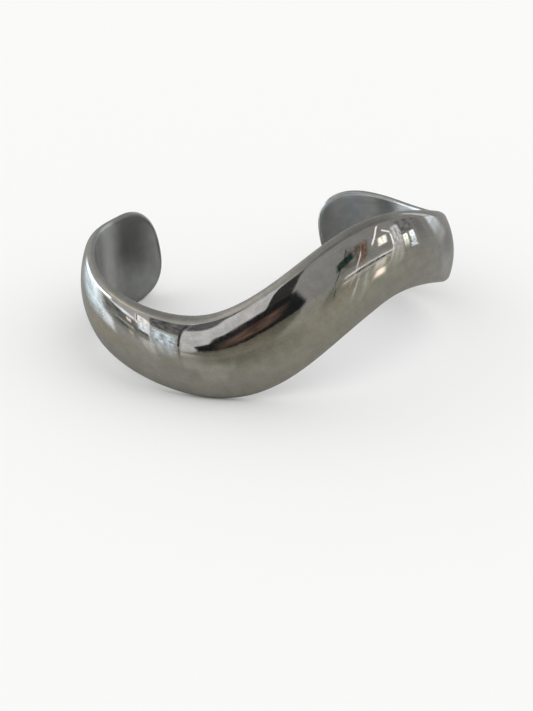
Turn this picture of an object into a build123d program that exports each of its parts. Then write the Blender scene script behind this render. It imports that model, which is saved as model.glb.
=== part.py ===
from build123d import *
import math
import os
from scipy.interpolate import CubicSpline

# An open wave cuff bangle: one solid band of steel, bent round the wrist.
# The band dips at the front left, rises in a crest at the front right, and
# widens into a rounded paddle on each side of the gap at the back.
# It is the same again after half a turn about the line from the front to the gap.
# Millimetres. The cuff is drawn upright, front towards -Y, and then laid to rest.

# Driving sizes
WRIST_WIDTH = 60.0
WRIST_DEPTH = 48.0
BAND_WIDTH = 15.0
CROWN_HEIGHT = 1.55
INNER_ROUND = 0.45
OUTER_ROUND = 0.95
WAVE_RISE = 7.2
SIDE_LEAN = 4.8
TIP_ANGLE = 149.0
PADDLE_END = 10.0
PADDLE_SQUARENESS = 2.5

# The right half from the front to the tip, at shares of TIP_ANGLE. The lift is a share
# of WAVE_RISE, the width of BAND_WIDTH, the crown of CROWN_HEIGHT and the lean of SIDE_LEAN.
STATIONS = (
    dict(at=0.00, lift=0.00, width=1.00, crown=1.00, lean=0.00),
    dict(at=0.13, lift=0.86, width=1.01, crown=1.00, lean=0.00),
    dict(at=0.27, lift=1.01, width=0.88, crown=1.00, lean=0.00),
    dict(at=0.44, lift=0.68, width=0.82, crown=1.00, lean=1.00),
    dict(at=0.60, lift=0.31, width=0.88, crown=1.05, lean=1.00),
    dict(at=0.77, lift=0.09, width=1.07, crown=1.15, lean=0.50),
    dict(at=0.91, lift=0.07, width=1.19, crown=1.25, lean=0.00),
    dict(at=1.00, lift=-0.08, width=1.28, crown=1.25, lean=0.00),
)

# Sections lie at even turns of each rounded end and evenly along the band between
END_SECTIONS = 6
BAND_SECTIONS = 31
# The tip closes on a tiny flat, this far short of its end
NOSE_FLAT = 0.005
# An edge's rounding takes at most this share of half the band
WIDEST_ROUND = 0.9
# A small turn or length, for slopes
SMALL_STEP = 0.01
# The mesh on which the resting place is found
REST_MESH = 0.01
REST_MESH_ANGLE = 0.3
REST_ROUNDS = 12


def station(row, side):
    """Angle, lift, width, crown and lean of a row, for the right half (side 1) or the left (side -1)."""
    # The outer face leans up on the right and down on the left
    return (
        side * TIP_ANGLE * row["at"],
        side * WAVE_RISE * row["lift"],
        BAND_WIDTH * row["width"],
        CROWN_HEIGHT * row["crown"],
        -side * SIDE_LEAN * row["lean"],
    )


def course():
    """Lift, width, crown and lean against the angle, as one smooth curve from tip to tip."""
    rows = [station(row, -1) for row in reversed(STATIONS[1:])] + [station(row, 1) for row in STATIONS]
    return CubicSpline([row[0] for row in rows], [row[1:] for row in rows], bc_type="natural")


COURSE = course()


def centre_point(angle):
    """The middle of the band's inner face, at an angle from the front."""
    turn = math.radians(angle)
    lift = COURSE(angle)[0]
    return Vector(WRIST_WIDTH / 2 * math.sin(turn), -WRIST_DEPTH / 2 * math.cos(turn), lift)


def band_plane(angle):
    """The plane square to the band: its X runs up across the band and its Y outwards."""
    along = (centre_point(angle + SMALL_STEP) - centre_point(angle - SMALL_STEP)).normalized()
    level = Vector(along.Y, -along.X, 0).normalized()
    outward = level.rotate(Axis((0, 0, 0), along), COURSE(angle)[3])
    across = outward.cross(along)
    return Plane(centre_point(angle), x_dir=across, z_dir=across.cross(outward))


def tip_pace():
    """The length of band for each degree, close to a tip."""
    return (centre_point(TIP_ANGLE) - centre_point(TIP_ANGLE - 1)).length


def end_share(reach):
    """The share of the full width that the rounded end leaves at a distance from the tip."""
    if reach >= PADDLE_END:
        return 1.0
    run = 1 - reach / PADDLE_END
    return (1 - run ** PADDLE_SQUARENESS) ** (1 / PADDLE_SQUARENESS)


def round_depth(radius, reach):
    """How far a rounded edge still stands in at a distance from the tip."""
    if reach >= radius:
        return 0.0
    return radius - math.sqrt(radius ** 2 - (radius - reach) ** 2)


def section(angle):
    """One section of the band: flat inside, domed outside, with rounded edges."""
    reach = (TIP_ANGLE - abs(angle)) * tip_pace()
    _, width, crown_height, _ = COURSE(angle)
    share = end_share(reach)
    half = width / 2 * share

    # A rounded edge looks longer where the outline runs in towards the tip
    slope = width / 2 * (end_share(reach + SMALL_STEP) - share) / SMALL_STEP
    stretch = math.hypot(1, slope)
    inner_run = min(INNER_ROUND * stretch, WIDEST_ROUND * half)
    outer_run = min(OUTER_ROUND * stretch, WIDEST_ROUND * half)

    # Heights above the inner face, from the flat inside to the top of the dome
    inside = round_depth(INNER_ROUND, reach)
    brow = INNER_ROUND + OUTER_ROUND - round_depth(OUTER_ROUND, reach)
    crown = crown_height * share ** 2
    dome_radius = (half ** 2 + crown ** 2) / (2 * crown)
    dome_edge = half - outer_run
    dome_rise = math.sqrt(dome_radius ** 2 - dome_edge ** 2)
    dome_end = brow + crown - dome_radius + dome_rise
    corner = dome_end - dome_edge / dome_rise * outer_run

    flat = half - inner_run
    quarter = (1, math.sqrt(0.5), 1)
    upper_inner = [(flat, inside), (half, inside), (half, INNER_ROUND)]
    upper_outer = [(half, INNER_ROUND), (half, corner), (dome_edge, dome_end)]
    lower_outer = [(-dome_edge, dome_end), (-half, corner), (-half, INNER_ROUND)]
    lower_inner = [(-half, INNER_ROUND), (-half, inside), (-flat, inside)]
    edges = [
        Edge.make_line((-flat, inside), (flat, inside)),
        Edge.make_bezier(*upper_inner, weights=quarter),
        Edge.make_bezier(*upper_outer, weights=quarter),
        Edge.make_three_point_arc((dome_edge, dome_end), (0, brow + crown), (-dome_edge, dome_end)),
        Edge.make_bezier(*lower_outer, weights=quarter),
        Edge.make_bezier(*lower_inner, weights=quarter),
    ]
    return band_plane(angle) * Face(Wire(edges))


def section_angles():
    """Angles of the sections, from the left tip to the right one."""
    reaches = [NOSE_FLAT]
    for step in range(1, END_SECTIONS):
        turn = math.radians(90 * step / END_SECTIONS)
        reaches.append(PADDLE_END * (1 - math.cos(turn) ** (2 / PADDLE_SQUARENESS)))
    right_end = [TIP_ANGLE - reach / tip_pace() for reach in reaches]
    left_end = [-angle for angle in right_end]
    full = TIP_ANGLE - PADDLE_END / tip_pace()
    band = [full * (2 * step / (BAND_SECTIONS - 1) - 1) for step in range(BAND_SECTIONS)]
    return left_end + band + right_end[::-1]


def upright_cuff():
    """The cuff as drawn, with its wave level."""
    return loft([section(angle) for angle in section_angles()]).solid()


def resting_plane(cuff):
    """The surface that the cuff lies on, under the front left dip and both paddles."""
    points = cuff.tessellate(REST_MESH, REST_MESH_ANGLE)[0]
    dip = [p for p in points if p.X < 0 and p.Y < 0]
    left_paddle = [p for p in points if p.X < 0 and p.Y > 0]
    right_paddle = [p for p in points if p.X > 0 and p.Y > 0]
    up = Vector(0, 0, 1)
    for _ in range(REST_ROUNDS):
        feet = [min(zone, key=lambda p: p.dot(up)) for zone in (dip, right_paddle, left_paddle)]
        up = (feet[1] - feet[0]).cross(feet[2] - feet[0]).normalized()
    side = Vector(1, 0, 0)
    return Plane(feet[0], x_dir=side - up * side.dot(up), z_dir=up)


def resting_cuff():
    """The cuff as it lies by itself, its lowest point at Z 0 and its middle over the origin."""
    upright = upright_cuff()
    cuff = resting_plane(upright).to_local_coords(upright)
    box = cuff.bounding_box()
    return cuff.moved(Location((-box.center().X, -box.center().Y, -box.min.Z)))


os.makedirs("parts", exist_ok=True)
export_step(resting_cuff(), "parts/cuff.step")
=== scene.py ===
"""The looks of an open wave cuff bangle: one polished steel band, lying on a pale studio floor."""
import math

import bpy
import numpy as np
from mathutils import Matrix, Vector


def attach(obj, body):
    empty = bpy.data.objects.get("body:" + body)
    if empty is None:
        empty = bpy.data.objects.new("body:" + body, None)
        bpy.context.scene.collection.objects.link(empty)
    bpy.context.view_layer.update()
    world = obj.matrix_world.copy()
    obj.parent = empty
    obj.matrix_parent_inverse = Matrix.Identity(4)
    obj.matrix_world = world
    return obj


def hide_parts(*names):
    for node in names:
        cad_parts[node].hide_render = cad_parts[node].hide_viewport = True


MILLIMETRE = 0.001

# The band's driving sizes, in millimetres and degrees, as in the CAD source
WRIST_WIDTH = 60.0
WRIST_DEPTH = 48.0
BAND_WIDTH = 15.0
CROWN_HEIGHT = 1.55
INNER_ROUND = 0.45
OUTER_ROUND = 0.95
WAVE_RISE = 7.2
SIDE_LEAN = 4.8
TIP_ANGLE = 149.0
PADDLE_END = 10.0
PADDLE_SQUARENESS = 2.5
# An edge's rounding takes at most this share of half the band
WIDEST_ROUND = 0.9
# The inner edges ease in over this much of the face, a little more softly than the solid's
INNER_BEVEL = 0.8

# The right half from the front to the tip, at shares of TIP_ANGLE. The lift is a share
# of WAVE_RISE, the width of BAND_WIDTH, the crown of CROWN_HEIGHT and the lean of SIDE_LEAN.
STATIONS = (
    dict(at=0.00, lift=0.00, width=1.00, crown=1.00, lean=0.00),
    dict(at=0.13, lift=0.86, width=1.01, crown=1.00, lean=0.00),
    dict(at=0.27, lift=1.01, width=0.88, crown=1.00, lean=0.00),
    dict(at=0.44, lift=0.68, width=0.82, crown=1.00, lean=1.00),
    dict(at=0.60, lift=0.31, width=0.88, crown=1.05, lean=1.00),
    dict(at=0.77, lift=0.09, width=1.07, crown=1.15, lean=0.50),
    dict(at=0.91, lift=0.07, width=1.19, crown=1.25, lean=0.00),
    dict(at=1.00, lift=-0.08, width=1.28, crown=1.25, lean=0.00),
)

# The mesh: rings along the band and in each rounded end, and points round a ring
BAND_RINGS = 420
END_RINGS = 24
INSIDE_POINTS = 20
INNER_ROUND_POINTS = 6
OUTER_ROUND_POINTS = 9
DOME_POINTS = 40
# A small turn or length, for slopes
SMALL_STEP = 0.01
# Rounds in which the resting plane is found
REST_ROUNDS = 12

# The camera looks at VIEW_TARGET from this azimuth, elevation and distance, in degrees and
# metres. Its lens and sensor are in millimetres.
VIEW_AZIMUTH = -14.58
VIEW_ELEVATION = 27.17
VIEW_DISTANCE = 0.2704
VIEW_TARGET = Vector((-0.00041, 0.00258, -0.00572))
CLIP_START = 0.01
CLIP_END = 50.0
LENS = 75.4
SENSOR = 36.0

# The pale floor, and the glossy table top that the metal mirrors in its place.
# The table's tone passes from front to back between two places on Y, in metres.
FLOOR_SIZE = 12.0
FLOOR_COLOUR = (0.90, 0.90, 0.895, 1)
TABLE_FRONT = (0.38, 0.365, 0.28, 1)
TABLE_BACK = (0.33, 0.33, 0.315, 1)
TABLE_FRONT_EDGE = -0.08
TABLE_BACK_EDGE = 0.02
TABLE_ROUGHNESS = 0.14
TABLE_IOR = 1.7

# The room: a plain light for the floor, and the walls that the metal mirrors. A way out of the
# scene is a unit vector. Its X tells the left walls from the right ones. From WALL_TOP to
# STRAIGHT_UP its Z brings the walls' strength to the ceiling's.
ROOM_LIGHT = (1.06, 1.06, 1.06, 1)
LEFT_WALLS = (0.46, 0.46, 0.44, 1)
RIGHT_WALLS = (0.285, 0.285, 0.275, 1)
LEFT_WALLS_X = -1.0
RIGHT_WALLS_X = 0.4
WALL_TOP = 0.55
STRAIGHT_UP = 1.0
WALL_STRENGTH = 1.1
CEILING_STRENGTH = 0.76

# The polish. Each noise has lumps about as wide as its size, in millimetres on the band.
SMUDGES = dict(size=7.0, detail=3.0)
BLOTCHES = dict(size=1.6, detail=2.0)
SPECKS = dict(size=0.3, detail=1.0)
STREAKS = dict(size=0.25, detail=2.0)
WAVES = dict(size=6.0, detail=1.0)
PEEL = dict(size=0.25, detail=1.0)
# The streaks are drawn out along the band: their noise sees this share of the way along it
STREAK_SHARE = 0.05
# An effect goes from low to high while its noise goes from start to end. The hazes add up to
# the roughness outside, and the tones make a shade that multiplies the colour.
SMUDGE_COVER = dict(start=0.45, end=0.75)
SMUDGE_HAZE = 0.025
BLOTCH_HAZE = dict(start=0.35, end=0.7, low=0.0, high=0.025)
SPECK_HAZE = dict(start=0.3, end=0.75, low=0.015, high=0.05)
BLOTCH_TONE = dict(start=0.3, end=0.7, low=0.93, high=1.05)
SPECK_TONE = dict(start=0.3, end=0.7, low=-0.05, high=0.03)
STREAK_TONE = dict(start=0.3, end=0.7, low=0.97, high=1.02)
OUTSIDE_COLOUR = (0.60, 0.59, 0.565, 1)
SMUDGED_COLOUR = (0.57, 0.56, 0.535, 1)
INSIDE_COLOUR = (0.545, 0.555, 0.555, 1)
# The inside's look ends between this height above the inner face and INNER_ROUND
INSIDE_TOP = 0.05
# Even, because a mottled one leaves pits in a denoised picture
INSIDE_ROUGHNESS = 0.25
# How strongly the polish is drawn out along the band
ANISOTROPY = 0.6
# Heights of the relief, in metres
WAVE_HEIGHT = 8e-6
PEEL_HEIGHT = 0.5e-6

# Tints of the cards and pools
NEUTRAL = (1, 1, 1)
COOL = (0.86, 0.93, 1)
SKY = (0.75, 0.91, 1)
PALE_SKY = (0.80, 0.91, 1)
WARM = (1, 0.93, 0.83)
PEACH = (1, 0.86, 0.74)
BROWN = (1, 0.75, 0.62)
RUST = (1, 0.66, 0.52)
EARTH = (1, 0.94, 0.78)
LIME = (0.97, 1, 0.86)
GREEN = (0.45, 1, 0.85)
SAGE = (0.96, 1, 0.93)

# Noise that makes a card's light uneven. Its size is a share of the card's sides, and the light
# goes from dim to bright between two values of the noise.
MOTTLING = dict(size=0.2, detail=3.0)
MOTTLE_START = 0.3
MOTTLE_END = 0.7
# A card's square runs from 0 to 1, so this is its middle and also the way from there to an edge
CARD_MIDDLE = 0.5


def glow(name, at, size, light, soft, tint=NEUTRAL, mottle=0, turn=0):
    """A card or pool: soft is the share that its fading edges take, and mottle how uneven its light is."""
    return dict(name=name, at=at, size=size, light=light, soft=soft, tint=tint, mottle=mottle, turn=turn)


# Softboxes, pale panels and dark flags round the bangle, seen only in the metal. A row gives the
# azimuth and elevation of a card's middle, its size and its turn, all in degrees. Azimuth 0 is in
# front, towards -Y, and 90 is towards +X. Each card stands a step behind the one before, which
# hides it where they overlap. Distances are in metres, from SIGHT_HEIGHT over the origin.
SIGHT_HEIGHT = 0.014
CARD_DISTANCE = 1.5
CARD_STEP = 0.03
CARDS = (
    glow("glow_front", (-21, 4.6), size=(34, 8), light=0.13, soft=0.5, tint=RUST, mottle=0.45, turn=3),
    glow("flag_front", (-22, 5.3), size=(36, 14.4), light=0.02, soft=0.1),
    glow("flag_end", (-39.5, 2.6), size=(11, 9), light=0.02, soft=0.3, tint=COOL, turn=24),
    glow("flag_slanted", (-2.4, 2.9), size=(11, 18), light=0.022, soft=0.32, tint=COOL, turn=47),
    glow("flag_top", (-14, 17), size=(13.5, 13), light=0.045, soft=0.1),
    glow("beam", (-16, 27), size=(16, 8), light=0.2, soft=0.3, tint=BROWN, mottle=0.3),
    glow("post_left", (-53, 14), size=(1.4, 32), light=0.06, soft=0.3),
    glow("coving", (-47.5, 27), size=(10, 13), light=0.14, soft=0.3, mottle=0.3),
    glow("flag_left", (-61, 22), size=(17, 17), light=0.17, soft=0.2, mottle=0.5),
    glow("panel_left", (-61.5, 4), size=(15, 18), light=0.95, soft=0.3, tint=PALE_SKY, mottle=0.5),
    glow("post_low_left", (-78, 13), size=(1, 8), light=0.2, soft=0.3),
    glow("window_low_left", (-73.5, 4), size=(9, 8), light=1.25, soft=0.2, tint=COOL, mottle=0.3),
    glow("wall_low_left", (-74, 11), size=(11, 12), light=1.2, soft=0.2, mottle=0.3),
    glow("strip_left", (-96, 6.4), size=(38, 3.4), light=1.35, soft=0.3, tint=COOL, mottle=0.3, turn=9),
    glow("window_left", (-133, 9), size=(44, 31), light=2.9, soft=0.8, tint=PALE_SKY, mottle=0.2),
    glow("window_mid", (-112, 15), size=(20, 16), light=3.6, soft=0.5, tint=COOL, mottle=0.1, turn=12),
    glow("wall_front", (-36, 16), size=(34, 36), light=0.72, soft=0.1, mottle=0.12),
    glow("ceiling_front", (30, 55), size=(90, 46), light=0.2, soft=0.6),
    glow("bar_dark", (23, 8), size=(0.8, 22), light=0.06, soft=0.3, turn=-3),
    glow("bar_pale", (34.7, 4), size=(1, 11), light=1, soft=0.3, turn=-5),
    glow("bar_slanted", (47.3, 16.5), size=(1.7, 19), light=1.5, soft=0.3, turn=-27),
    glow("bar_top", (56.5, 14.5), size=(1.4, 9), light=1.4, soft=0.3, turn=52),
    glow("bar_right", (60, 5.5), size=(1.5, 13), light=1.5, soft=0.3, turn=4),
    glow("lamp", (52, 8.5), size=(9, 8), light=1.9, soft=0.45, tint=WARM, mottle=0.4),
    glow("leaves", (24.5, 8.5), size=(12, 7.5), light=0.045, soft=0.4, tint=GREEN, mottle=0.6, turn=22),
    glow("wood", (36.5, 8), size=(7, 17), light=0.24, soft=0.3, tint=RUST, mottle=0.5),
    glow("shelf_gap", (32, 9), size=(20, 18), light=0.22, soft=0.4, tint=WARM, mottle=0.4),
    glow("window_right_a", (71.8, 1), size=(5, 7), light=1.85, soft=0.1, tint=LIME, mottle=0.6),
    glow("window_right_b", (79, 1), size=(5.5, 7), light=1.85, soft=0.1, tint=COOL, mottle=0.6),
    glow("shelves", (65, 7), size=(9, 19), light=0.75, soft=0.3, mottle=0.45),
    glow("flag_right", (79, 12), size=(25, 15), light=0.25, soft=0.2, mottle=0.4),
    glow("flag_far_right", (90, 6), size=(12, 16), light=0.24, soft=0.5),
    glow("panel_right", (112, 1), size=(21, 14), light=1.15, soft=0.5, tint=COOL, mottle=0.1, turn=-6),
    glow("wall_right", (120, 20), size=(20, 36), light=0.74, soft=0.5, mottle=0.15, turn=-22),
    glow("glow_left", (-98, 42), size=(60, 32), light=0.75, soft=0.9, tint=WARM, mottle=0.1),
)

# Low cards that stand close to the bangle, placed and measured like the others
NEAR_DISTANCE = 0.25
NEAR_STEP = 0.002
NEAR_CARDS = (
    glow("lamp_left", (-83, 2.5), size=(5, 3.5), light=1.3, soft=0.5, tint=PEACH, mottle=0.3),
    glow("block_left", (-93, 1), size=(40, 9), light=0.21, soft=0.4, tint=SAGE, mottle=0.4, turn=4),
    glow("block_low_left", (-74.5, -1.3), size=(12, 4.4), light=0.2, soft=0.3, tint=SAGE, mottle=0.3),
    glow("rail", (43, -1.5), size=(35, 1.2), light=1.25, soft=0.25),
    glow("rail_shade", (44, -2.7), size=(20, 1.2), light=0.02, soft=0.25),
)

# Pools of light and shade just over the table top, seen only in the metal. Middles, sizes and
# the height are in millimetres, and turns in degrees.
POOL_HEIGHT = 0.3
POOLS = (
    glow("pool_right", (68, -61), size=(36, 13), light=1.9, soft=0.8, tint=PEACH, turn=-38),
    glow("pool_bar", (76, -106), size=(150, 3), light=0.6, soft=0.5, turn=-52),
    glow("pool_line", (70, -165), size=(170, 2.5), light=0.12, soft=0.5, turn=-67),
    glow("pool_front", (-24, -66), size=(100, 76), light=0.225, soft=0.9, tint=EARTH, mottle=0.1),
    glow("pool_far", (-106, -146), size=(120, 160), light=0.2, soft=0.8, tint=EARTH, mottle=0.1, turn=-36),
    glow("hollow_shade", (12, 17), size=(25, 22), light=0.02, soft=0.6),
    glow("pool_panes", (217, -58), size=(130, 24), light=1.3, soft=0.5, tint=PALE_SKY, mottle=0.6, turn=-15),
    glow("pool_back", (-4, 46), size=(50, 34), light=0.2, soft=0.9),
    glow("pool_side", (80, 30), size=(70, 60), light=0.27, soft=0.9, turn=25),
    glow("pool_glow", (-73, 30), size=(50, 46), light=1.7, soft=0.9, tint=SKY, mottle=0.25),
    glow("pool_glow_back", (-90, 78), size=(140, 50), light=1.25, soft=0.8, tint=SKY, mottle=0.15, turn=-54),
    glow("pool_foot", (-44, 2), size=(22, 46), light=0.38, soft=0.9, tint=EARTH),
    glow("pool_shade", (-150, -6), size=(120, 44), light=0.12, soft=0.9),
)


def natural_spline(knots, values):
    """A smooth curve through the values at the knots, with no bend at its ends, as a function."""
    gaps = np.diff(knots)
    slopes = np.diff(values, axis=0) / gaps[:, None]
    system = np.eye(len(knots))
    turns = np.zeros_like(values)
    for k in range(1, len(knots) - 1):
        system[k, k - 1:k + 2] = gaps[k - 1], 2 * (gaps[k - 1] + gaps[k]), gaps[k]
        turns[k] = 6 * (slopes[k] - slopes[k - 1])
    bends = np.linalg.solve(system, turns)

    def curve(at):
        k = np.clip(np.searchsorted(knots, at) - 1, 0, len(gaps) - 1)
        gap = gaps[k][:, None]
        after = (at - knots[k])[:, None] / gap
        before = 1 - after
        straight = before * values[k] + after * values[k + 1]
        bent = (before ** 3 - before) * bends[k] + (after ** 3 - after) * bends[k + 1]
        return straight + bent * gap ** 2 / 6

    return curve


def station(row, side):
    """Angle, lift, width, crown and lean of a row, for the right half (side 1) or the left (side -1)."""
    # The outer face leans up on the right and down on the left
    return (
        side * TIP_ANGLE * row["at"],
        side * WAVE_RISE * row["lift"],
        BAND_WIDTH * row["width"],
        CROWN_HEIGHT * row["crown"],
        -side * SIDE_LEAN * row["lean"],
    )


def make_course():
    """Lift, width, crown and lean against the angle, as one smooth curve from tip to tip."""
    rows = [station(row, -1) for row in reversed(STATIONS[1:])] + [station(row, 1) for row in STATIONS]
    table = np.array(rows)
    return natural_spline(table[:, 0], table[:, 1:])


COURSE = make_course()


def unit(vectors):
    """The vectors, each brought to length 1."""
    return vectors / np.linalg.norm(vectors, axis=-1, keepdims=True)


def centre_line(angles):
    """Points on the middle of the band's inner face."""
    turns = np.radians(angles)
    across = WRIST_WIDTH / 2 * np.sin(turns)
    back = -WRIST_DEPTH / 2 * np.cos(turns)
    return np.stack([across, back, COURSE(angles)[:, 0]], axis=1)


def band_frames(angles):
    """At each angle, the way up across the band and the way out of it."""
    along = unit(centre_line(angles + SMALL_STEP) - centre_line(angles - SMALL_STEP))
    level = unit(np.stack([along[:, 1], -along[:, 0], np.zeros(len(angles))], axis=1))
    lean = np.radians(COURSE(angles)[:, 3:4])
    out = level * np.cos(lean) + np.cross(along, level) * np.sin(lean)
    return np.cross(out, along), out


def tip_pace():
    """The length of band for each degree, close to a tip."""
    ends = centre_line(np.array([TIP_ANGLE - 1, TIP_ANGLE]))
    return np.linalg.norm(ends[1] - ends[0])


def end_share(reach):
    """The share of the full width that the rounded end leaves at a distance from the tip."""
    run = 1 - np.clip(reach / PADDLE_END, 0, 1)
    return (1 - run ** PADDLE_SQUARENESS) ** (1 / PADDLE_SQUARENESS)


def round_depth(depth, width, reach):
    """How far a rounded edge of this depth and width still stands in at a distance from the tip."""
    run = np.clip(1 - reach / width, 0, 1)
    return depth * (1 - np.sqrt(1 - run ** 2))


def ring_angles():
    """Angles of the rings, from tip to tip, closer together in the rounded ends."""
    turns = np.linspace(0, math.pi / 2, END_RINGS, endpoint=False)[1:]
    reaches = PADDLE_END * (1 - np.cos(turns) ** (2 / PADDLE_SQUARENESS))
    ends = TIP_ANGLE - reaches / tip_pace()
    full = TIP_ANGLE - PADDLE_END / tip_pace()
    return np.concatenate([-ends, np.linspace(-full, full, BAND_RINGS), ends[::-1]])


def quarter_round(start, corner, end, count):
    """Points along a rounded corner of every ring, without its last one."""
    share = np.linspace(0, 1, count, endpoint=False)[:, None]
    first = (1 - share) ** 2
    middle = math.sqrt(2) * share * (1 - share)
    last = share ** 2
    total = first + middle + last
    return [(first * a + middle * b + last * c) / total for a, b, c in zip(start, corner, end)]


def ring_outlines(angles):
    """For every ring, its points across the band and out of it: flat inside and domed outside."""
    reach = (TIP_ANGLE - np.abs(angles)) * tip_pace()
    _, width, crown_height, _ = COURSE(angles).T
    share = end_share(reach)
    half = width / 2 * share

    # A rounded edge looks longer where the outline runs in towards the tip
    slope = width / 2 * (end_share(reach + SMALL_STEP) - share) / SMALL_STEP
    stretch = np.hypot(1, slope)
    inner_run = np.minimum(INNER_BEVEL * stretch, WIDEST_ROUND * half)
    outer_run = np.minimum(OUTER_ROUND * stretch, WIDEST_ROUND * half)

    # Heights above the inner face, from the flat inside to the top of the dome
    inside = round_depth(INNER_ROUND, INNER_BEVEL, reach)
    middle = np.full_like(half, INNER_ROUND)
    brow = INNER_ROUND + OUTER_ROUND - round_depth(OUTER_ROUND, OUTER_ROUND, reach)
    crown = crown_height * share ** 2
    radius = (half ** 2 + crown ** 2) / (2 * crown)
    dome_edge = half - outer_run
    dome_rise = np.sqrt(radius ** 2 - dome_edge ** 2)
    dome_end = brow + crown - radius + dome_rise
    corner = dome_end - dome_edge / dome_rise * outer_run

    flat = half - inner_run
    across_inside = np.linspace(-1, 1, INSIDE_POINTS, endpoint=False)[:, None]
    across_dome = np.linspace(1, -1, DOME_POINTS, endpoint=False)[:, None] * dome_edge
    parts = [
        (across_inside * flat, inside + 0 * across_inside),
        quarter_round((flat, inside), (half, inside), (half, middle), INNER_ROUND_POINTS),
        quarter_round((half, middle), (half, corner), (dome_edge, dome_end), OUTER_ROUND_POINTS),
        (across_dome, brow + crown - radius + np.sqrt(radius ** 2 - across_dome ** 2)),
        quarter_round((-dome_edge, dome_end), (-half, corner), (-half, middle), OUTER_ROUND_POINTS),
        quarter_round((-half, middle), (-half, inside), (-flat, inside), INNER_ROUND_POINTS),
    ]
    return [np.concatenate([part[k] for part in parts]).T for k in range(2)]


def upright_points(angles, across, out):
    """The upright band's points, ring after ring, and then its two tips."""
    way_up, way_out = band_frames(angles)
    rise = across[:, :, None] * way_up[:, None]
    swell = out[:, :, None] * way_out[:, None]
    rings = centre_line(angles)[:, None] + rise + swell
    ends = np.array([-TIP_ANGLE, TIP_ANGLE])
    tips = centre_line(ends) + INNER_ROUND * band_frames(ends)[1]
    return np.concatenate([rings.reshape(-1, 3), tips])


def lie_down(points):
    """Lays the band on its front left dip and both paddles, with its middle over the origin."""
    left, back = points[:, 0] < 0, points[:, 1] > 0
    # The front left dip, the right paddle and the left one
    zones = [points[left & ~back], points[~left & back], points[left & back]]
    up = np.array([0.0, 0.0, 1.0])
    for _ in range(REST_ROUNDS):
        feet = [zone[np.argmin(zone @ up)] for zone in zones]
        up = unit(np.cross(feet[1] - feet[0], feet[2] - feet[0]))
    side = np.array([1.0, 0.0, 0.0])
    side = unit(side - up * (side @ up))
    turned = points @ np.stack([side, np.cross(up, side), up], axis=1)
    low, high = turned.min(axis=0), turned.max(axis=0)
    return turned - [(low[0] + high[0]) / 2, (low[1] + high[1]) / 2, low[2]]


def band_faces(rings, points):
    """Quads between rings, and a fan at each tip. The tips come after the rings' points."""
    faces = []
    for ring in range(rings - 1):
        first = ring * points
        for k in range(points):
            after = (k + 1) % points
            faces.append((first + k, first + after, first + points + after, first + points + k))
    tip, last = rings * points, (rings - 1) * points
    for k in range(points):
        after = (k + 1) % points
        faces.append((tip, after, k))
        faces.append((tip + 1, last + k, last + after))
    return faces


def band_places(angles, across, out):
    """Every point's place along the band, across it and out of it, in millimetres."""
    steps = np.linalg.norm(np.diff(centre_line(angles), axis=0), axis=1)
    along = np.concatenate([[0], np.cumsum(steps)])
    reach = along[-1] / 2
    along = np.repeat(along - reach, across.shape[1])
    places = np.stack([along, across.ravel(), out.ravel()], axis=1)
    tips = [(-reach, 0, INNER_ROUND), (reach, 0, INNER_ROUND)]
    return np.concatenate([places, tips])


def ways_across(points, count):
    """Every point's way across the band, for the laid band's points with so many in each ring."""
    rings = points[:-2].reshape(-1, count, 3)
    ways = np.repeat(unit(rings[:, INSIDE_POINTS] - rings[:, 0]), count, axis=0)
    return np.concatenate([ways, ways[:1], ways[-1:]])


def store(mesh, name, vectors):
    """Keeps a vector for each point of the mesh, for the metal's material to read."""
    values = np.asarray(vectors, dtype=np.float32).ravel()
    mesh.attributes.new(name, "FLOAT_VECTOR", "POINT").data.foreach_set("vector", values)


def make_cuff():
    """The whole bangle as one even mesh, with each point's place on the band and way across it."""
    angles = ring_angles()
    across, out = ring_outlines(angles)
    rings, count = across.shape
    points = lie_down(upright_points(angles, across, out)) * MILLIMETRE
    mesh = bpy.data.meshes.new("cuff_skin")
    mesh.from_pydata(points, [], band_faces(rings, count))
    mesh.shade_smooth()
    store(mesh, "band", band_places(angles, across, out))
    store(mesh, "across", ways_across(points, count))
    mesh.materials.append(polished_steel())
    piece = bpy.data.objects.new("cuff_skin", mesh)
    bpy.context.scene.collection.objects.link(piece)
    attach(piece, "root")
    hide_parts("cuff")


def aim(azimuth, elevation):
    """The unit direction at an azimuth and an elevation in degrees."""
    turn, lift = math.radians(azimuth), math.radians(elevation)
    return Vector((math.sin(turn) * math.cos(lift), -math.cos(turn) * math.cos(lift), math.sin(lift)))


def make_camera():
    """A camera at the photograph's viewing angle."""
    data = bpy.data.cameras.new("camera")
    data.lens = LENS
    data.sensor_width = SENSOR
    data.clip_start = CLIP_START
    data.clip_end = CLIP_END
    camera = bpy.data.objects.new("camera", data)
    back = aim(VIEW_AZIMUTH, VIEW_ELEVATION)
    camera.location = VIEW_TARGET + back * VIEW_DISTANCE
    camera.rotation_mode = "QUATERNION"
    camera.rotation_quaternion = (-back).to_track_quat("-Z", "Y")
    bpy.context.scene.collection.objects.link(camera)
    bpy.context.scene.camera = camera


def add_node(tree, kind, inputs=None, **settings):
    """A shader node with its settings. Its inputs, by name or number, are values or outputs."""
    node = tree.nodes.new(kind)
    for name, value in settings.items():
        setattr(node, name, value)
    for name, value in (inputs or {}).items():
        if isinstance(value, bpy.types.NodeSocket):
            tree.links.new(value, node.inputs[name])
        else:
            node.inputs[name].default_value = value
    return node


def calculate(tree, operation, first, second=0.0):
    """The outcome of a sum on two numbers or outputs."""
    return add_node(tree, "ShaderNodeMath", {0: first, 1: second}, operation=operation).outputs[0]


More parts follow.
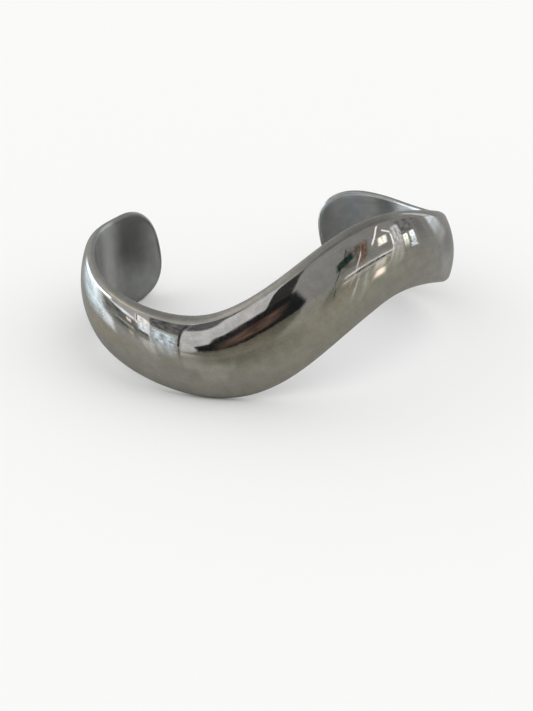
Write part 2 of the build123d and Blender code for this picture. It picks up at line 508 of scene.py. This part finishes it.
def ramp(tree, value, start, end, low=0.0, high=1.0):
    """A smooth change from low to high while the value goes from start to end."""
    inputs = {"Value": value, "From Min": start, "From Max": end, "To Min": low, "To Max": high}
    return add_node(tree, "ShaderNodeMapRange", inputs, interpolation_type="SMOOTHSTEP").outputs["Result"]


def noise(tree, place, size, detail):
    """Soft lumps about as wide as size, from 0 to 1."""
    inputs = {"Vector": place, "Scale": 1 / size, "Detail": detail}
    return add_node(tree, "ShaderNodeTexNoise", inputs).outputs["Fac"]


def blend(tree, share, first, second, how="MIX"):
    """A colour between two colours, or their product where how is MULTIPLY."""
    inputs = {"Factor": share, 6: first, 7: second}
    return add_node(tree, "ShaderNodeMix", inputs, data_type="RGBA", blend_type=how).outputs[2]


def axes(tree, vector):
    """The X, Y and Z of a vector."""
    return add_node(tree, "ShaderNodeSeparateXYZ", {"Vector": vector}).outputs


def in_metal(tree):
    """One for rays that the metal mirrors, and nought for all others."""
    return add_node(tree, "ShaderNodeLightPath").outputs["Is Glossy Ray"]


def mix_shaders(tree, share, first, second, surface):
    """Ends a material in a mix of two shaders' outputs."""
    shader = add_node(tree, "ShaderNodeMixShader", {"Fac": share, 1: first, 2: second})
    tree.links.new(shader.outputs["Shader"], surface)


def new_material(name):
    """An empty node material: its tree and its output's surface socket."""
    material = bpy.data.materials.new(name)
    material.use_nodes = True
    tree = material.node_tree
    tree.nodes.clear()
    return material, tree, add_node(tree, "ShaderNodeOutputMaterial").inputs["Surface"]


def rectangle(centre, side, rise):
    """Four corners round a centre, side and rise being the ways to the middles of two edges."""
    return [centre - side - rise, centre + side - rise, centre + side + rise, centre - side + rise]


def add_plane(name, corners, material):
    """A flat stage piece with four corners."""
    mesh = bpy.data.meshes.new(name)
    mesh.from_pydata(corners, [], [(0, 1, 2, 3)])
    square = mesh.uv_layers.new(name="square")
    for loop, corner in zip(square.data, ((0, 0), (1, 0), (1, 1), (0, 1))):
        loop.uv = corner
    mesh.materials.append(material)
    plane = bpy.data.objects.new(name, mesh)
    bpy.context.scene.collection.objects.link(plane)
    return plane


def floor_material():
    """Pale and matt, but a darker glossy table top in the metal's reflections."""
    material, tree, surface = new_material("floor")
    inputs = {"Base Color": FLOOR_COLOUR, "Roughness": 1.0, "Specular IOR Level": 0.0}
    pale = add_node(tree, "ShaderNodeBsdfPrincipled", inputs)
    place = add_node(tree, "ShaderNodeNewGeometry").outputs["Position"]
    depth = ramp(tree, axes(tree, place)["Y"], TABLE_FRONT_EDGE, TABLE_BACK_EDGE)
    tone = blend(tree, depth, TABLE_FRONT, TABLE_BACK)
    inputs = {"Base Color": tone, "Roughness": TABLE_ROUGHNESS, "IOR": TABLE_IOR}
    table = add_node(tree, "ShaderNodeBsdfPrincipled", inputs)
    mix_shaders(tree, in_metal(tree), pale.outputs["BSDF"], table.outputs["BSDF"], surface)
    return material


def make_floor():
    """The floor, far wider than the view."""
    half = FLOOR_SIZE / 2
    corners = rectangle(Vector((0, 0, 0)), Vector((half, 0, 0)), Vector((0, half, 0)))
    add_plane("floor", corners, floor_material())


def make_world():
    """An even pale light, and grey walls where the metal mirrors the room."""
    world = bpy.data.worlds.new("room")
    bpy.context.scene.world = world
    world.use_nodes = True
    world.cycles.sampling_method = "NONE"
    tree = world.node_tree
    tree.nodes.clear()
    way = axes(tree, add_node(tree, "ShaderNodeTexCoord").outputs["Generated"])
    walls = blend(tree, ramp(tree, way["X"], LEFT_WALLS_X, RIGHT_WALLS_X), LEFT_WALLS, RIGHT_WALLS)
    strength = ramp(tree, way["Z"], WALL_TOP, STRAIGHT_UP, WALL_STRENGTH, CEILING_STRENGTH)
    mirrored = in_metal(tree)
    # The strength is 1 for the floor and the walls' own in the metal
    inputs = {
        "Color": blend(tree, mirrored, ROOM_LIGHT, walls),
        "Strength": ramp(tree, mirrored, 0.0, 1.0, 1.0, strength),
    }
    background = add_node(tree, "ShaderNodeBackground", inputs)
    output = add_node(tree, "ShaderNodeOutputWorld")
    tree.links.new(background.outputs["Background"], output.inputs["Surface"])


def card_material(card):
    """A glow that fades out towards the card's edges, even or mottled."""
    material, tree, surface = new_material(card["name"])
    place = add_node(tree, "ShaderNodeUVMap", uv_map="square").outputs["UV"]
    sides = axes(tree, place)
    covers = 1.0
    for axis in ("X", "Y"):
        off_centre = calculate(tree, "ABSOLUTE", calculate(tree, "SUBTRACT", sides[axis], CARD_MIDDLE))
        fade = ramp(tree, off_centre, CARD_MIDDLE, CARD_MIDDLE - card["soft"] / 2)
        covers = calculate(tree, "MULTIPLY", covers, fade)
    dim = card["light"] * (1 - card["mottle"])
    bright = card["light"] * (1 + card["mottle"])
    strength = ramp(tree, noise(tree, place, **MOTTLING), MOTTLE_START, MOTTLE_END, dim, bright)
    lit = add_node(tree, "ShaderNodeEmission", {"Color": (*card["tint"], 1), "Strength": strength})
    clear = add_node(tree, "ShaderNodeBsdfTransparent")
    mix_shaders(tree, covers, clear.outputs["BSDF"], lit.outputs["Emission"], surface)
    return material


def add_glow(card, corners):
    """A card or pool that shows in the metal's reflections alone."""
    plane = add_plane(card["name"], corners, card_material(card))
    plane.visible_camera = False
    plane.visible_diffuse = False
    plane.visible_shadow = False


def make_card(card, distance):
    """One card, square to the line from the bangle to its middle."""
    outward = aim(*card["at"])
    turn = Matrix.Rotation(math.radians(card["turn"]), 3, outward)
    level = Vector((0, 0, 1)).cross(outward).normalized()
    side = turn @ level
    rise = outward.cross(side)
    wide, high = [distance * math.tan(math.radians(size / 2)) for size in card["size"]]
    centre = outward * distance + Vector((0, 0, SIGHT_HEIGHT))
    add_glow(card, rectangle(centre, side * wide, rise * high))


def make_pool(pool):
    """One pool of light or shade, lying just over the floor."""
    turn = Matrix.Rotation(math.radians(pool["turn"]), 3, "Z")
    wide, high = [size / 2 * MILLIMETRE for size in pool["size"]]
    centre = Vector((*pool["at"], POOL_HEIGHT)) * MILLIMETRE
    side = turn @ Vector((wide, 0, 0))
    rise = turn @ Vector((0, high, 0))
    add_glow(pool, rectangle(centre, side, rise))


def steel_haze(tree, smudges, blotches, specks):
    """The roughness that the marks leave in the mirror finish outside."""
    haze = calculate(tree, "MULTIPLY", smudges, SMUDGE_HAZE)
    haze = calculate(tree, "ADD", haze, ramp(tree, blotches, **BLOTCH_HAZE))
    return calculate(tree, "ADD", haze, ramp(tree, specks, **SPECK_HAZE))


def steel_shade(tree, band, outside, blotches, specks):
    """A grey about 1 by which the marks make the metal darker or paler."""
    fine = calculate(tree, "MULTIPLY", outside, ramp(tree, specks, **SPECK_TONE))
    shade = calculate(tree, "ADD", ramp(tree, blotches, **BLOTCH_TONE), fine)
    inputs = {0: band, 1: (STREAK_SHARE, 1, 1)}
    drawn_out = add_node(tree, "ShaderNodeVectorMath", inputs, operation="MULTIPLY").outputs[0]
    streaks = noise(tree, drawn_out, **STREAKS)
    shade = calculate(tree, "MULTIPLY", shade, ramp(tree, streaks, **STREAK_TONE))
    inputs = {"Red": shade, "Green": shade, "Blue": shade}
    return add_node(tree, "ShaderNodeCombineColor", inputs).outputs["Color"]


def steel_relief(tree, band, outside):
    """Slight waves all over, and a fine peel outside."""
    inputs = {"Height": noise(tree, band, **WAVES), "Distance": WAVE_HEIGHT, "Strength": 1.0}
    wavy = add_node(tree, "ShaderNodeBump", inputs).outputs["Normal"]
    inputs = {"Height": noise(tree, band, **PEEL), "Distance": PEEL_HEIGHT, "Strength": outside}
    return add_node(tree, "ShaderNodeBump", {**inputs, "Normal": wavy}).outputs["Normal"]


def polished_steel():
    """Hand-polished steel: a mirror outside with a fine haze, and a softer brushed face inside."""
    material, tree, surface = new_material("polished_steel")
    band = add_node(tree, "ShaderNodeAttribute", attribute_name="band").outputs["Vector"]
    inside = ramp(tree, axes(tree, band)["Z"], INNER_ROUND, INSIDE_TOP)
    outside = calculate(tree, "SUBTRACT", 1.0, inside)
    smudges = ramp(tree, noise(tree, band, **SMUDGES), **SMUDGE_COVER)
    blotches = noise(tree, band, **BLOTCHES)
    specks = noise(tree, band, **SPECKS)

    haze = calculate(tree, "MULTIPLY", steel_haze(tree, smudges, blotches, specks), outside)
    soft = calculate(tree, "MULTIPLY", inside, INSIDE_ROUGHNESS)
    outside_colour = blend(tree, smudges, OUTSIDE_COLOUR, SMUDGED_COLOUR)
    colour = blend(tree, inside, outside_colour, INSIDE_COLOUR)
    shade = steel_shade(tree, band, outside, blotches, specks)
    inputs = {
        "Base Color": blend(tree, 1.0, colour, shade, how="MULTIPLY"),
        "Metallic": 1.0,
        "Roughness": calculate(tree, "ADD", haze, soft),
        "Anisotropic": ANISOTROPY,
        "Tangent": add_node(tree, "ShaderNodeAttribute", attribute_name="across").outputs["Vector"],
        "Normal": steel_relief(tree, band, outside),
    }
    shader = add_node(tree, "ShaderNodeBsdfPrincipled", inputs)
    tree.links.new(shader.outputs["BSDF"], surface)
    return material


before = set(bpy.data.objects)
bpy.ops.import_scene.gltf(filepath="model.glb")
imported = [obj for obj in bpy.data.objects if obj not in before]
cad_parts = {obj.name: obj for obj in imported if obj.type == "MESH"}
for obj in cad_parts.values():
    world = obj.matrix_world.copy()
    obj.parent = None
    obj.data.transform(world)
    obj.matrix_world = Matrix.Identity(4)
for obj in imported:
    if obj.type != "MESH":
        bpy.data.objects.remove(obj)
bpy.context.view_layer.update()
make_camera()
make_floor()
make_world()
for order, card in enumerate(CARDS):
    make_card(card, CARD_DISTANCE + CARD_STEP * order)
for order, card in enumerate(NEAR_CARDS):
    make_card(card, NEAR_DISTANCE + NEAR_STEP * order)
for pool in POOLS:
    make_pool(pool)
make_cuff()
bpy.context.scene.view_settings.view_transform = "Standard"
